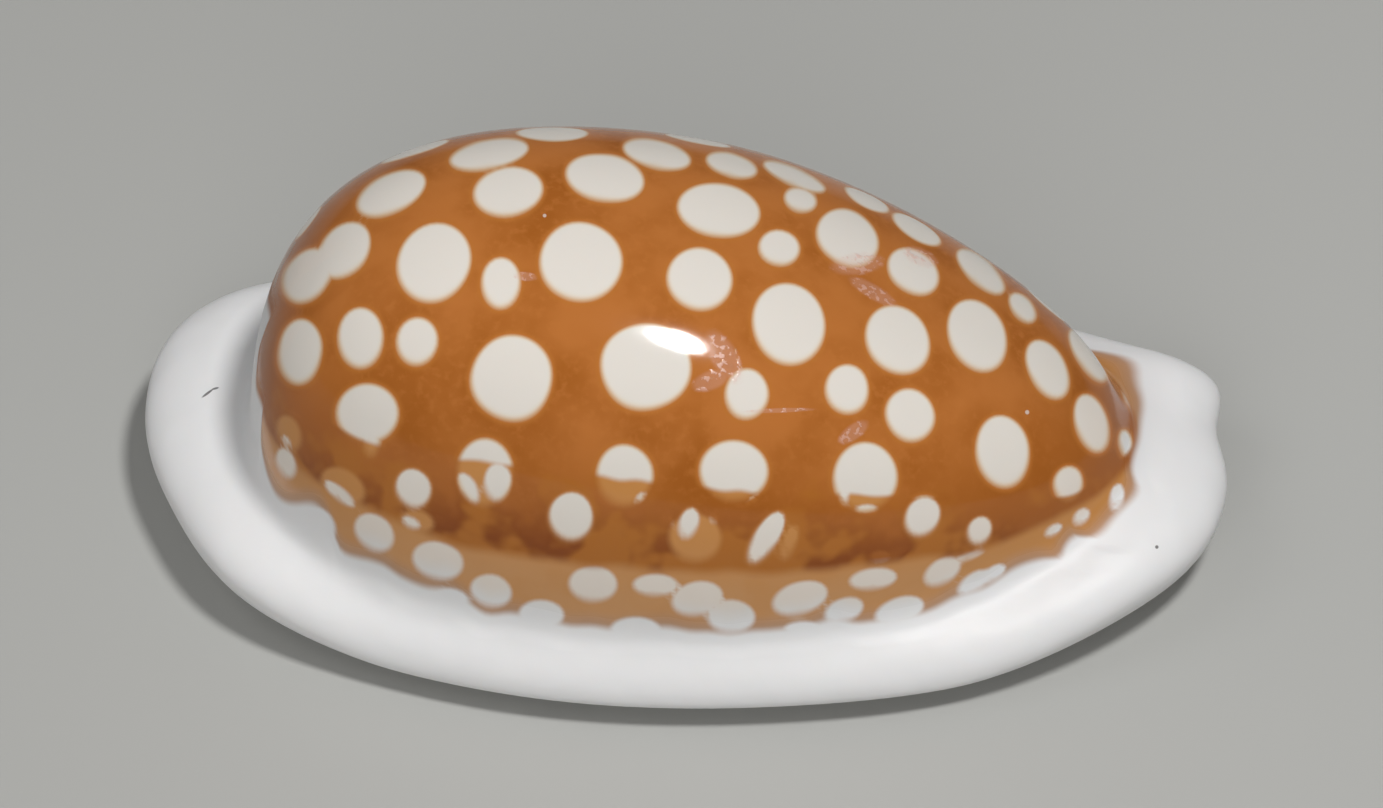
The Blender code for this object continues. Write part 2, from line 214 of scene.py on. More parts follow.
def base_height(x, y):
    """Height of the base: flat, lifted at the ends, dished at the slit, cut by the canals.

    The dish dies away sideways as the exponential of a fourth power, a canal as that of a cube.
    """
    line, slope = mouth_line(x)
    off = (y - line) / np.sqrt(1.0 + slope ** 2)
    lift = side_to_end((0.0, BASE_END_LIFT), x)
    dish = MOUTH_DISH * np.exp(-(off / MOUTH_DISH_WIDTH) ** 4)
    ends = ease(MOUTH_ENDS[1] - CANAL_START, MOUTH_ENDS[1] + CANAL_START, np.abs(x))
    canal = ends * np.exp(-np.abs(off / CANAL_HALF_WIDTH) ** 3)
    height = np.maximum(lift + dish - BASE_REST, 0.0)
    return height + (CANAL_ROOF - height) * canal


def outside(x, y, z):
    """Negative inside the shell's outer form: the dome and the callus, cut by the base."""
    body = smooth_min(dome(x, y, z), callus(x, y, z), FILLET)
    return smooth_max(body, base_height(x, y) - z, BASE_EDGE)


# Hollow inside the dome
HOLLOW_FLOOR = 2.3
HOLLOW_HUB = (-0.6, -0.25, 3.2)  # the point from which its wall is measured
HOLLOW_CORNER = 1.0           # blend of its wall into its floor
HOLLOW_DIP = -0.05            # climb from that point, in radians, where its wall begins


def hollow(x, y, z):
    """Negative inside the hollow: the dome less its wall, above the floor."""
    return smooth_max(dome(x, y, z, SHELL_WALL), HOLLOW_FLOOR - z, HOLLOW_CORNER)


# Points of the form's surface, found from inside it
HALVINGS = 28                 # steps that find a surface point
FAR = 16.0                    # longer than any way from a hub to the outside


def last_inside(form, start, heading, reach):
    """Halves the stretch from start along heading until it ends on the form's surface."""
    near = np.zeros(np.broadcast(start[0], heading[0]).shape)
    far = near + reach
    for _ in range(HALVINGS):
        half = 0.5 * (near + far)
        inside = form(*[s + half * h for s, h in zip(start, heading)]) < 0.0
        near = np.where(inside, half, near)
        far = np.where(inside, far, half)
    return np.stack([s + near * h for s, h in zip(start, heading)], axis=-1)


def seen_from(form, hub, around, climb):
    """The form's surface as seen from a hub, for headings around and angles of climb."""
    around = np.broadcast_to(around[:, None], climb.shape)
    heading = (np.cos(climb) * np.cos(around), np.cos(climb) * np.sin(around), np.sin(climb))
    return last_inside(form, hub, heading, FAR)


def straight_below(form, x, y, level):
    """The form's surface straight below the points x, y at a level."""
    still = np.zeros(x.shape)
    return last_inside(form, (x, y, still + level), (still, still, still - 1.0), level + 1.0)


# Lips: they curl in from the base to the slit, each with a row of teeth
MOUTH_HALF_WIDTH = 0.5
MOUTH_FLARE = 0.25            # extra half width towards the front
MOUTH_FLARE_FROM = 2.0        # where along X that starts
MOUTH_END_GROWTH = 0.6        # the slit's outline grows less at its ends than sideways
LIP_RADIUS = 0.7
LIP_UNDERCUT = 0.5            # the lips curl back inside the slit
LIP_ROWS = 22
LIP_CLOSING = 1.3             # rows of the lip lie closer towards the slit
LIP_TURN = 1.5                # the lip turns slowly at first, then faster
INSIDE_LEVEL = 1.7            # a level inside the shell all over its base
TOOTH_HEIGHT = 0.25
TOOTH_REACH = 1.0             # how far the teeth run out over the base
TEETH_OUTER = 17
TEETH_INNER = 16
TEETH_ROUND = 40              # tooth spacings in one turn round the mouth


def mouth_loop(share, grow):
    """Points round the slit pushed outwards by grow: half widths that close as high powers."""
    turn = np.linspace(0.0, 2.0 * math.pi, CURVE_SAMPLES, endpoint=False)
    middle = 0.5 * (MOUTH_ENDS[0] + MOUTH_ENDS[1])
    half_length = 0.5 * (MOUTH_ENDS[1] - MOUTH_ENDS[0]) + MOUTH_END_GROWTH * grow
    x = middle + half_length * np.sign(np.cos(turn)) * np.abs(np.cos(turn)) ** 0.5
    line, slope = mouth_line(x)
    width = MOUTH_HALF_WIDTH + MOUTH_FLARE * ease(MOUTH_FLARE_FROM, MOUTH_ENDS[1], x) + grow
    width = width * np.sqrt(1.0 + slope ** 2)
    y = line + width * np.sign(np.sin(turn)) * np.abs(np.sin(turn)) ** 0.5
    return along(np.stack([x, y], axis=-1), CURVE_SAMPLES // 2, share)


def tooth_ridge(share):
    """Height of the teeth at each share of the turn: rounded ridges on both lips."""
    step = 1.0 / TEETH_ROUND
    wave = (0.5 + 0.5 * np.cos(2.0 * math.pi * share / step)) ** 1.5
    ridge = np.zeros_like(share)
    for middle, count in ((0.25, TEETH_INNER), (0.75, TEETH_OUTER)):
        half_span = 0.5 * count * step
        ridge = np.maximum(ridge, 1.0 - ease(half_span - step, half_span, np.abs(share - middle)))
    return TOOTH_HEIGHT * wave * ridge


def lip_rows(share):
    """Rows over the lip and up the slit: shrinking loops that leave the base in a quarter turn.

    The teeth push each row outwards along that turn, most in the middle of the lip.
    """
    rows = []
    for turn in np.arange(1, LIP_ROWS + 1) / LIP_ROWS:
        slope = 0.5 * math.pi * turn ** LIP_TURN
        grow = (LIP_RADIUS + TOOTH_REACH) * (1.0 - turn) ** LIP_CLOSING
        x, y = mouth_loop(share, grow)
        towards_x, towards_y = mouth_loop(share, grow - 0.1 * LIP_RADIUS)
        lip = straight_below(outside, x, y, INSIDE_LEVEL)
        lip[:, 2] += LIP_RADIUS * (1.0 - math.cos(slope)) * turn
        push = tooth_ridge(share) * math.sin(math.pi * turn)
        towards = np.stack([towards_x - x, towards_y - y], axis=-1)
        towards /= np.linalg.norm(towards, axis=1)[:, None]
        lip[:, :2] += towards * (push * math.sin(slope))[:, None]
        lip[:, 2] -= push * math.cos(slope)
        rows.append(lip)
    return np.stack(rows, axis=1)


# Skin: columns run round the shell, rows from the top of the dome over the margin, the base,
# the lip and the floor of the hollow to the hollow's ceiling
COLUMNS_PER_TOOTH = 12
DOME_ROWS = 112
MARGIN_ROWS = 12
BASE_ROWS = 16
FLOOR_ROWS = 6
HOLLOW_ROWS = 12
ROW_CLOSING = 0.95            # rows of the dome and callus lie closer towards the margin
PATH_SAMPLES = 500            # points along a column before its rows are spaced out
BASE_RING = 1.6               # how far in from the margin the base begins


def between(start, end, mix):
    """Points between a column's start and end in X and Y, for shares mix of the way."""
    x = start[0][:, None] + (end[0] - start[0])[:, None] * mix
    y = start[1][:, None] + (end[1] - start[1])[:, None] * mix
    return x, y


def spaced_rows(path, shares):
    """Each column's path resampled at shares of its own length.

    All columns go through one interpolation: column number plus share of its length.
    """
    steps = np.linalg.norm(np.diff(path, axis=1), axis=2)
    length = np.concatenate([np.zeros((len(path), 1)), np.cumsum(steps, axis=1)], axis=1)
    column = np.arange(len(path))[:, None]
    just_inside = 1e-9
    have = (column + length / length[:, -1:]).ravel()
    want = (column + just_inside + shares * (1.0 - 2.0 * just_inside)).ravel()
    flat = path.reshape(-1, 3)
    out = [np.interp(want, have, flat[:, axis]) for axis in range(3)]
    return np.stack(out, axis=-1).reshape(len(path), len(shares), 3)


def shell_grid():
    """The shell's points: columns round it, rows over the dome, base, lip and hollow."""
    columns = COLUMNS_PER_TOOTH * TEETH_ROUND
    share = np.arange(columns) / columns
    back = np.argmin(np.linalg.norm(margin_curve - np.array(MARGIN[BACK_DENT]), axis=1))
    edge_x, edge_y = along(margin_curve, back, share)
    around = np.arctan2(edge_y - HUB[1], edge_x - HUB[0])
    radius = np.hypot(edge_y - HUB[1], edge_x - HUB[0])
    path = np.linspace(0.0, 1.0, PATH_SAMPLES)

    # Over the dome and the callus to the margin
    widest = np.arctan2(side_to_end(CALLUS_LEVEL, edge_x) - HUB[2], radius)[:, None]
    over = seen_from(outside, HUB, around, 0.5 * math.pi * (1.0 - path) + widest * path)
    parts = [spaced_rows(over, np.linspace(0.0, 1.0, DOME_ROWS + 1) ** ROW_CLOSING)]

    # Under the margin to a ring on the base, and across it to the foot of the teeth
    turn = 0.5 * math.pi * np.arange(1, MARGIN_ROWS + 1) / MARGIN_ROWS
    inset = BASE_RING * (1.0 - np.cos(turn)) / radius[:, None]
    x, y = between((over[:, -1, 0], over[:, -1, 1]), HUB[:2], inset)
    parts.append(straight_below(outside, x, y, side_to_end(CALLUS_LEVEL, x)))
    foot = mouth_loop(share, LIP_RADIUS + TOOTH_REACH)
    x, y = between((x[:, -1], y[:, -1]), foot, np.arange(1, BASE_ROWS + 1) / BASE_ROWS)
    parts.append(straight_below(outside, x, y, INSIDE_LEVEL))
    parts.append(lip_rows(share))

    # Along the floor of the hollow, and up its wall to the ceiling
    wall = seen_from(hollow, HOLLOW_HUB, around, np.full((columns, 1), HOLLOW_DIP))[:, 0]
    x, y = between(mouth_loop(share, LIP_UNDERCUT), (wall[:, 0], wall[:, 1]),
                   np.arange(FLOOR_ROWS) / FLOOR_ROWS)
    parts.append(straight_below(hollow, x, y, HOLLOW_HUB[2]))
    climb = HOLLOW_DIP + (0.5 * math.pi - HOLLOW_DIP) * path
    inside = seen_from(hollow, HOLLOW_HUB, around, np.broadcast_to(climb, (columns, len(path))))
    parts.append(spaced_rows(inside, np.linspace(0.0, 1.0, HOLLOW_ROWS + 1)))
    return np.concatenate(parts, axis=1)


def shell_mesh(grid):
    """One closed skin: quads between columns and rows, and a fan at the top and the ceiling."""
    columns, rows = grid.shape[:2]
    body = grid[:, 1:-1].reshape(-1, 3)
    points = np.concatenate([body, grid[:1, 0], grid[:1, -1]]) * MM
    number = np.arange(columns * (rows - 2)).reshape(columns, rows - 2)
    beside = np.roll(number, -1, axis=0)
    quads = np.stack([number[:, :-1], number[:, 1:], beside[:, 1:], beside[:, :-1]], axis=-1)
    top, ceiling = len(body), len(body) + 1
    first = np.stack([np.full(columns, top), number[:, 0], beside[:, 0]], axis=-1)
    last = np.stack([np.full(columns, ceiling), beside[:, -1], number[:, -1]], axis=-1)
    corners = np.concatenate([quads.ravel(), first.ravel(), last.ravel()])
    sizes = np.concatenate([np.full(quads.size // 4, 4), np.full(2 * columns, 3)])
    mesh = bpy.data.meshes.new("shell_skin")
    mesh.vertices.add(len(points))
    mesh.vertices.foreach_set("co", points.astype(np.float32).ravel())
    mesh.loops.add(len(corners))
    mesh.loops.foreach_set("vertex_index", corners.astype(np.int32))
    mesh.polygons.add(len(sizes))
    starts = np.concatenate([[0], np.cumsum(sizes)[:-1]])
    mesh.polygons.foreach_set("loop_start", starts.astype(np.int32))
    mesh.update(calc_edges=True)
    mesh.validate()
    mesh.shade_smooth()
    return mesh


# The sizes above are from a point near the middle: shift brings the grid to its solid's box
shell_points = shell_grid()
low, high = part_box("shell")
shift = 0.5 * (np.array(low) + np.array(high)) / MM
grid_low, grid_high = shell_points.min(axis=(0, 1)), shell_points.max(axis=(0, 1))
shift -= 0.5 * (grid_low + grid_high)
shift[2] = low.z / MM - grid_low[2]
skin = shell_mesh(shell_points + shift)

# Place and facing of each corner of the skin, in the frame of those sizes
corners, normals = np.empty((2, 3 * len(skin.vertices)), dtype=np.float32)
skin.vertices.foreach_get("co", corners)
skin.vertices.foreach_get("normal", normals)
corners, normals = corners.reshape(-1, 3) / MM - shift, normals.reshape(-1, 3)


# Markings: two brown films lie on the white shell, the back film over the dome and the side
# film round its foot, and where both lie the brown is dark. The spots are holes that the
# mantle left in them. Places that show in the photo were read off on the view plane, which
# is square to the camera's line of sight: (across, up) in mm from the camera's target.
CAMERA_AZIMUTH, CAMERA_CLIMB = 3.5, 47.0
CAMERA_DISTANCE = 130.0
VIEW_TARGET = (0.0, 0.0, 3.0)  # where the camera looks, in the frame of the sizes above
SIGHT_STEP = 0.08             # step in search of the shell along a line of sight


def view_axes():
    """The view plane's directions across and up, and the direction back to the camera."""
    a, e = math.radians(CAMERA_AZIMUTH), math.radians(CAMERA_CLIMB)
    back = np.array([math.sin(a) * math.cos(e), -math.cos(a) * math.cos(e), math.sin(e)])
    across = np.array([math.cos(a), math.sin(a), 0.0])
    return across, np.cross(back, across), back


def on_view_plane(points):
    """Where points appear on the view plane, by their perspective from the camera."""
    across, up, back = view_axes()
    off = points - np.array(VIEW_TARGET)
    nearness = CAMERA_DISTANCE / (CAMERA_DISTANCE - off @ back)
    return off @ across * nearness, off @ up * nearness


def seen_at(places):
    """Points of the shell at places of the view plane.

    Even steps along each line of sight find the first place inside, and halving the surface.
    """
    across, up, back = view_axes()
    places = np.array(places, dtype=float)
    plane = np.array(VIEW_TARGET) + places[:, :1] * across + places[:, 1:2] * up
    sight = plane - (np.array(VIEW_TARGET) + CAMERA_DISTANCE * back)
    sight /= np.linalg.norm(sight, axis=1)[:, None]
    ways = np.arange(-FAR, FAR, SIGHT_STEP)
    tries = plane[:, None] + ways[:, None] * sight[:, None]
    first = np.argmax(outside(tries[..., 0], tries[..., 1], tries[..., 2]) < 0.0, axis=1)
    start = plane + ways[first][:, None] * sight
    return last_inside(outside, start.T, -sight.T, SIGHT_STEP)


# Spots there are (across, up, long, short, turn), with the turn from across towards up: those
# of the back film, those that go through both films, and those of the side film.
BACK_SPOTS = [
    (-4.69, 5.78, 1.83, 0.65, 11), (-4.24, 4.92, 1.57, 1.11, 10), (-2, 5.24, 1.81, 1.06, -9),
    (-0.8, 5.78, 1.57, 0.62, -13), (0.93, 5.53, 1.18, 0.51, -16), (0.63, 4.49, 1.9, 1.2, -8),
    (2.38, 5.26, 1.53, 0.39, -24), (2.52, 4.73, 0.74, 0.53, -18), (2.03, 3.62, 0.93, 0.79, -15),
    (3.61, 3.85, 1.5, 1.2, -38), (5.13, 3.07, 1.27, 0.93, -37), (6.69, 3.07, 1.39, 0.56, -43),
    (7.66, 2.23, 0.79, 0.44, -52), (6.61, 1.59, 1.69, 1.27, -65), (8.24, 0.81, 1.44, 0.83, -63),
    (-6.95, 4.88, 1.69, 0.86, 25), (-5.96, 3.28, 1.83, 1.64, 60), (-4.41, 2.81, 1.16, 0.86, 88),
    (-2.56, 3.3, 1.9, 1.78, -20), (0.19, 2.9, 1.5, 1.39, -20), (2.25, 1.86, 1.87, 1.64, -75),
    (4.77, 1.49, 1.62, 1.39, -58), (-8.04, 3.56, 1.44, 1.02, 50), (-8.9, 2.97, 1.34, 0.97, 55),
    (-7.66, 1.54, 1.37, 1.02, 90), (-9.06, 1.22, 1.5, 0.97, 85), (-6.35, 1.46, 1.06, 0.93, 80),
    (-7.5, -0.21, 1.41, 1.34, 0), (-7.42, -0.97, 0.51, 0.37, 90), (-4.16, 0.61, 1.94, 1.85, 80),
    (-1.06, 0.87, 2.06, 1.97, 0), (1.28, 0.24, 1.13, 0.97, 90), (3.6, 0.35, 1.11, 0.97, 95),
    (5.06, -0.25, 1.2, 1.09, -70), (7.2, -1.09, 1.64, 1.2, 95), (9.26, -0.44, 1.37, 0.72, -74),
    (9.18, 1.13, 1.39, 0.51, -57), (8.72, -1.84, 0.79, 0.65, 80), (10.05, -0.9, 0.6, 0.28, -80),
    (10.14, 0.23, 0.72, 0.25, -63), (-9.32, -0.67, 0.88, 0.58, -70), (-8.07, -1.9, 1.16, 0.79, -32),
    (-6.35, -2.71, 0.83, 0.56, -15), (-4.78, -1.59, 1.55, 1.3, 90), (-1.55, -1.66, 1.41, 1.3, 90),
    (0.98, -1.55, 1.57, 1.39, 0), (4.02, -1.69, 1.6, 1.44, 80), (0.08, -3.1, 1.25, 1.13, 0),
    (2.26, -3.19, 0.88, 0.35, 68),
]
THROUGH_SPOTS = [
    (-6.44, -1.96, 1, 0.88, 110), (-2.79, -2.61, 1.2, 1.09, 90), (5.34, -2.62, 1.04, 0.83, 60),
    (6.66, -2.94, 0.76, 0.6, 65), (-0.07, -2.77, 0.83, 0.51, 70), (1.72, -3.1, 1.44, 0.62, 58),
    (-9.38, -1.37, 0.81, 0.51, -72),
]
SIDE_SPOTS = [
    (-7.34, -2.98, 1.09, 0.86, -42), (-5.87, -3.63, 1.27, 0.95, -15),
    (-4.64, -4.33, 1.04, 0.83, -15), (-2.28, -4.17, 1.2, 0.9, 0), (-0.84, -4.19, 1.11, 0.58, 0),
    (0.13, -4.51, 1.27, 0.86, 12), (0.91, -4.93, 1.18, 0.86, 0), (2.5, -4.5, 1.39, 0.81, 18),
    (3.52, -4.78, 1.02, 0.62, 22),
    (4.2, -4.05, 1.18, 0.56, 8), (4.36, -3.52, 0.56, 0.32, 5), (5.8, -3.88, 1.04, 0.62, 32),
    (6.42, -3.52, 0.83, 0.23, 22), (6.52, -4.14, 0.93, 0.49, 35), (8.37, -2.92, 0.53, 0.28, 35),
    (9.02, -2.61, 0.53, 0.37, 50), (9.84, -2.17, 0.72, 0.39, 80), (-9.38, -0.86, 0.37, 0.21, -55),
    (-8.55, -2.78, 0.88, 0.62, -58), (-5.52, -4.47, 0.83, 0.46, -12), (-3.48, -4.88, 1.13, 0.76, 0),
    (-1.3, -5.23, 1.23, 0.67, 0), (2.58, -5.21, 0.97, 0.44, 0), (4.8, -4.79, 1.27, 0.67, 20),
    (6.96, -3.94, 0.79, 0.37, 35), (-5.17, -1.97, 0.88, 0.49, -62), (-4.48, -1.83, 0.97, 0.72, 90),
    (-1.17, -2.18, 0.42, 0.25, 50), (1.38, -2.31, 0.67, 0.23, 50), (4.06, -2.45, 0.62, 0.3, 0),
    (3.53, -2.13, 0.69, 0.28, 80), (-0.57, -2.64, 0.42, 0.28, 80), (0.54, -2.59, 0.42, 0.28, 80),
    (-8.14, -2.08, 0.95, 0.35, -39), (-6.49, -2.75, 0.53, 0.32, -25),
]
SPOT_WAVER = 0.012            # share by which a spot's outline waves in and out
SPOT_WAVES = (2, 3, 4)        # waves of it in one turn
ANY_PHASE = (0.0, 6.3)        # where a wave may start, in radians
# A spot's fringe is the film thinning; its wider lower side is painted shadow of the film's edge.
FRINGE_THIN, FRINGE_WIDE_SHADOWED = 0.12, 0.32  # width of a spot's yellow fringe, above and below
FRINGE_SHADOW_TURN = -105.0          # where it is widest, as a turn on the view plane
FAINT = 1e-6                  # the weight of a fringe where no spot is near
NEAR_RIM = 0.6                # the largest distance from a rim that is kept
LIMIT_FACING = 0.1            # cosine to the camera below which seen spots close
LIMIT_PULL = 16.0             # mm by which they do so for a unit of that cosine


def from_rim(a, b, spot, random):
    """Distance of places a, b beside a spot out from its rim, its fringe's width and weight.

    The rim is an ellipse whose radius waves; the distance is right to first order. The weight
    of the width falls off exponentially with the distance.
    """
    length, width, turn = spot
    turn = math.radians(turn)
    lengthwise = a * math.cos(turn) + b * math.sin(turn)
    sidewise = b * math.cos(turn) - a * math.sin(turn)
    heading = np.arctan2(b, a)
    waves = sum(random.uniform(-1.0, 1.0) * np.cos(n * heading + random.uniform(*ANY_PHASE))
                for n in SPOT_WAVES)
    q = np.hypot(lengthwise / (0.5 * length), sidewise / (0.5 * width))
    q = q * (1.0 + SPOT_WAVER * waves)
    steep = np.hypot(lengthwise / (0.5 * length) ** 2, sidewise / (0.5 * width) ** 2)
    # The fringe is widest on a spot's lower side, as painted shadow of the film's edge.
    below = 0.5 + 0.5 * np.cos(heading - math.radians(FRINGE_SHADOW_TURN))
    fringe = FRINGE_THIN + (FRINGE_WIDE_SHADOWED - FRINGE_THIN) * below ** 2
    distance = np.minimum(q * (q - 1.0) / np.maximum(steep, 1e-6), NEAR_RIM)
    weight = np.exp(-distance / FRINGE_THIN)
    return np.stack([distance, weight * fringe, weight])


def together(kept, more):
    """Two sets of rims as one: the least distance, and the fringes added up by weight."""
    return np.concatenate([np.minimum(kept[:1], more[:1]), kept[1:] + more[1:]])


def seen_spots(points, normals, spots, seed):
    """Distance out from the nearest rim, and added fringes, for the spots in view.

    Close to the limit of what faces the camera the distance grows, so that a spot closes there.
    """
    random = np.random.default_rng(seed)
    _, _, back = view_axes()
    turned = normals @ back
    facing = turned > 0.0
    across, up = on_view_plane(points[facing])
    closing = LIMIT_PULL * np.maximum(LIMIT_FACING - turned[facing], 0.0)
    film = np.tile([[NEAR_RIM], [FRINGE_THIN * FAINT], [FAINT]], len(points))
    for spot in spots:
        rim = from_rim(across - spot[0], up - spot[1], spot[2:], random)
        rim[0] = np.minimum(rim[0] + closing, NEAR_RIM)
        film[:, facing] = together(film[:, facing], rim)
    return film


# Other spots are on a globe about the hub whose poles are the shell's ends: (forward, round, mm
# along, mm round, turn), in degrees forward of the middle, and round from the top towards the
# outer lip. These lie along the limit of what the photo shows, and the rest are scattered on
# the side that doesn't show.
RIM_SPOTS = [
    (-18.8, -19.5, 1.6, 1.3, 0), (4.0, -27.0, 1.5, 1.0, 0), (34.7, -24.5, 1.1, 1.2, 0),
    (43.6, -21.5, 1.25, 1.3, 0), (66.0, -32.0, 1.2, 0.9, 0), (-38.0, -18.5, 1.6, 1.1, 0),
    (-54.0, -11.0, 0.9, 0.9, 0),
]
RIM_SPOT_SIZE = 1.5           # the size that the far side's spots keep clear of
FAR_SPOTS = 70                # tries at placing spots on the side that doesn't show
FAR_SPOT_FORWARD = (-60.0, 74.0)  # where they may lie on the globe
FAR_SPOT_ROUND = (36.0, 80.0)
FAR_SPOT_SIZES = (0.8, 1.9)
FAR_SPOT_STRETCH = (0.9, 1.15)  # their length as a share of their width
FAR_SPOT_GAP = 0.25           # least brown between two of those spots


def on_shell(forward, around):
    """Points of the shell's outside at places of the globe: a forward turn, then one round."""
    ahead, over = np.radians(forward), np.radians(around)
    heading = (np.sin(ahead), -np.cos(ahead) * np.sin(over), np.cos(ahead) * np.cos(over))
    return last_inside(outside, HUB, heading, FAR)


def globe_spots(points, spots, seed):
    """The same for spots on the globe, as ellipses on the tangent plane at their middle.

    Ways on that plane are stretched to the straight way from the middle to each point.
    """
    random = np.random.default_rng(seed)
    table = np.array(spots)
    place = on_shell(table[:, 0], table[:, 1])
    ahead = on_shell(table[:, 0] + 1.0, table[:, 1]) - place
    down = on_shell(table[:, 0], table[:, 1] + 1.0) - place
    ahead /= np.linalg.norm(ahead, axis=1)[:, None]
    down -= np.sum(down * ahead, axis=1)[:, None] * ahead
    down /= np.linalg.norm(down, axis=1)[:, None]
    film = np.tile([[NEAR_RIM], [FRINGE_THIN * FAINT], [FAINT]], len(points))
    for spot in range(len(table)):
        off = points - place[spot]
        a, b = off @ ahead[spot], -(off @ down[spot])
        stretch = np.linalg.norm(off, axis=1) / np.maximum(np.hypot(a, b), 1e-6)
        rim = from_rim(a * stretch, b * stretch, table[spot, 2:], random)
        film = together(film, rim)
    return film


def far_spots(seen, seed):
    """Spots for the side that doesn't show: random places that keep clear of one another."""
    random = np.random.default_rng(seed)
    kept, places = [], [tuple(place) + (size,) for place, size in seen]
    for _ in range(FAR_SPOTS):
        size = random.uniform(*FAR_SPOT_SIZES)
        forward, around = random.uniform(*FAR_SPOT_FORWARD), -random.uniform(*FAR_SPOT_ROUND)
        point = on_shell(np.array([forward]), np.array([around]))[0]
        clear = all(math.dist(point, other[:3]) > 0.5 * (size + other[3]) + FAR_SPOT_GAP
                    for other in places)
        if clear:
            kept.append((forward, around, size * random.uniform(*FAR_SPOT_STRETCH), size, 0.0))
            places.append(tuple(point) + (size,))
    return kept


# The spots of the side that doesn't show go through both films
spot_places = np.array([spot[:2] for spot in BACK_SPOTS + SIDE_SPOTS])
spot_sizes = [spot[2] for spot in BACK_SPOTS + SIDE_SPOTS]
rim_places = on_shell(np.array(RIM_SPOTS)[:, 0], np.array(RIM_SPOTS)[:, 1])
taken = list(zip(seen_at(spot_places), spot_sizes))
taken += [(place, RIM_SPOT_SIZE) for place in rim_places]
hidden_rim = globe_spots(corners, RIM_SPOTS + far_spots(taken, seed=6), seed=7)
both_rims = together(hidden_rim, seen_spots(corners, normals, THROUGH_SPOTS, seed=8))
back_rim = together(both_rims, seen_spots(corners, normals, BACK_SPOTS, seed=1))
side_rim = together(both_rims, seen_spots(corners, normals, SIDE_SPOTS, seed=2))


# Outlines of the films on the view plane, from the back end along the outer lip's side to the
# front end: of both films together, of the back film, and of the side film's top.
FILM_SEEN = [
    (-9.81, 2.34), (-9.8, 1.85), (-9.97, 1.48), (-10.06, 0.9), (-10.08, 0.32), (-9.92, -0.19),
    (-9.97, -0.72), (-9.92, -1.23), (-9.69, -1.97), (-9.39, -2.27), (-8.95, -2.34), (-8.55, -2.5),
    (-8.28, -2.99), (-8.11, -3.38), (-7.56, -3.61), (-7.09, -3.75), (-6.75, -4), (-6.12, -4.26),
    (-5.59, -4.35), (-4.9, -4.77), (-4.55, -4.86), (-4.16, -4.86), (-3.48, -5), (-2.93, -5.12),
    (-2.42, -5.16), (-1.31, -5.21), (-0.61, -5.19), (0.22, -5.28), (1.01, -5.32), (1.93, -5.23),
    (2.58, -5.16), (3.32, -5.02), (3.9, -5.07), (4.8, -4.95), (5.45, -4.81), (6.03, -4.54),
    (6.68, -4.31), (7.37, -3.87), (8.21, -3.59), (8.55, -3.56), (8.69, -3.29), (8.95, -3.06),
    (9.27, -3.1), (9.76, -2.71), (10.08, -2.36), (10.29, -1.9), (10.2, -1.53), (10.36, -0.88),
    (10.45, -0.21), (10.38, 0.37), (10.01, 1.09),
]
BACK_FILM_SEEN = [
    (-10.03, 0.09), (-9.71, -0.83), (-9.06, -1.57), (-7.91, -2.22), (-6.75, -2.8), (-5.59, -3.26),
    (-4.43, -3.52), (-3.04, -3.7), (-1.66, -3.84), (0.2, -3.94), (2.51, -3.94), (4.13, -3.75),
    (5.52, -3.61), (6.68, -3.43), (7.84, -2.96), (8.99, -2.41), (9.92, -1.71), (10.34, -1.06),
]
SIDE_FILM_TOP_SEEN = [
    (-9.94, 0.56), (-9.57, 0.05), (-9.06, -0.25), (-8.14, -0.56), (-7.4, -0.9), (-6.05, -1.18),
    (-4.78, -1.32), (-3.28, -1.48), (-1.56, -1.71), (0.98, -1.99), (2.51, -2.08), (4.02, -2.08),
    (5.52, -2.15), (7.14, -2.18), (8.3, -2.18), (9.22, -1.9), (9.87, -1.34), (10.24, -0.72),
]
# The hidden part of each outline is on a map about a hub below the base: (turn, reach), with
# the turn in degrees from ahead towards the outer lip.
FILM_HIDDEN = [
    (-20, 47), (-29, 43), (-42, 39), (-68, 35), (-95, 34), (-120, 36.5), (-143, 40.5), (-160, 41),
    (-172, 40),
]
BACK_FILM_HIDDEN = [
    (-15, 47), (-37, 38), (-63, 32), (-93, 30), (-122, 31), (-145, 35), (-165, 40), (178, 42),
]
SIDE_FILM_TOP_HIDDEN = [
    (-12, 46), (-31, 35), (-61, 27), (-91, 25), (-120, 26), (-150, 32), (-172, 39),
]
MAP_HUB = (0.0, 0.0, -6.0)
DEGREE = 0.25                 # about the length of one degree of reach on the shell
FILM_WAVER, TOP_WAVER = 0.02, 0.02  # how far films' edges stray from those outlines
FILM_WAVES = (19, 31, 47)     # waves of that straying in one turn


def on_map(points):
    """Turn round the upright and degrees away from it of points, seen from the map's hub."""
    off = points - np.array(MAP_HUB)
    away = np.degrees(np.arctan2(np.hypot(off[:, 0], off[:, 1]), off[:, 2]))
    return np.arctan2(-off[:, 1], off[:, 0]), away


def inside_film(places, seen, hidden, waver, seed):
    """Distance in from a film's edge: its reach on the map less the way to each place.

    The outline is a smooth closed curve on the map, read off as a reach in each direction. The
    edge strays from it by a sum of sine waves round the map.
    """
    random = np.random.default_rng(seed)
    turn, away = on_map(seen_at(seen))
    hidden_turn, hidden_away = np.radians([p[0] for p in hidden]), np.array([p[1] for p in hidden])
    turn, away = np.append(turn, hidden_turn), np.append(away, hidden_away)
    outline = closed_spline(np.stack([away * np.cos(turn), away * np.sin(turn)], -1), CURVE_SAMPLES)
    around, reach = np.arctan2(outline[:, 1], outline[:, 0]), np.hypot(*outline.T)
    order = np.argsort(around)
    reach = np.interp(places[0], around[order], reach[order], period=2.0 * math.pi)
    stray = sum(random.uniform(-1.0, 1.0) * np.sin(n * places[0] + random.uniform(*ANY_PHASE))
                for n in FILM_WAVES)
    return (reach - places[1]) * DEGREE + waver * stray


